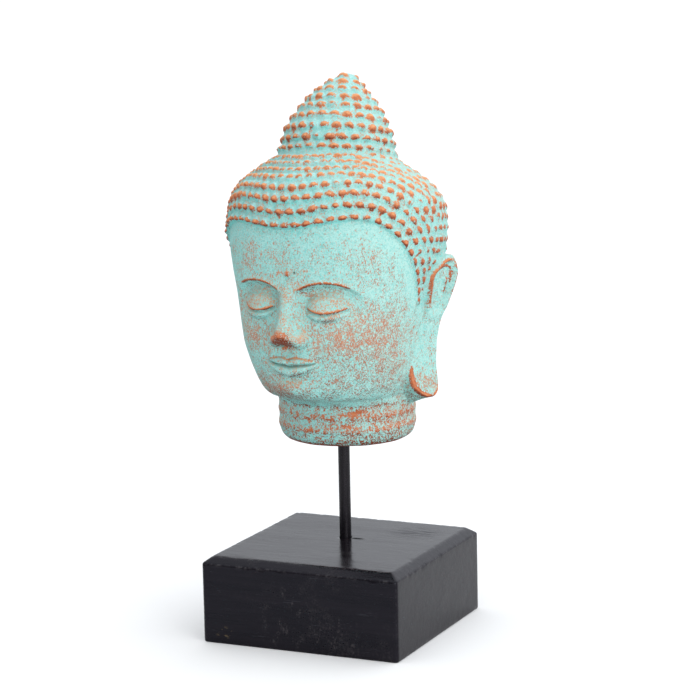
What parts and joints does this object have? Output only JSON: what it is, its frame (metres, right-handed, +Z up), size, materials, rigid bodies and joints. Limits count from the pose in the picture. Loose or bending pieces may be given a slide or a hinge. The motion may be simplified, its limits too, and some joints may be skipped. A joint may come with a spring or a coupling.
{
  "type": "buddha head",
  "caption": "Cast Buddha head with a tall curled topknot and long ears, in worn turquoise over copper colour, held up by a black rod in a square black wooden block.",
  "frame": {"origin": "centre of the block's underside, on the ground", "axes": "+Z up along the rod, -Y towards the block's front, which the face looks to within a few degrees"},
  "size_m": [0.1617, 0.169, 0.396],
  "materials": {
    "head": "rough sand-cast surface with a thin matt turquoise wash, rubbed through to copper red on the curls, rims and other high places",
    "rod": "black paint, satin",
    "base_block": "black stain under satin lacquer, with faint scratches"
  },
  "bodies": {
    "root": {"head": "head", "rod": "rod", "base_block": "base_block"}
  },
  "joints": []
}
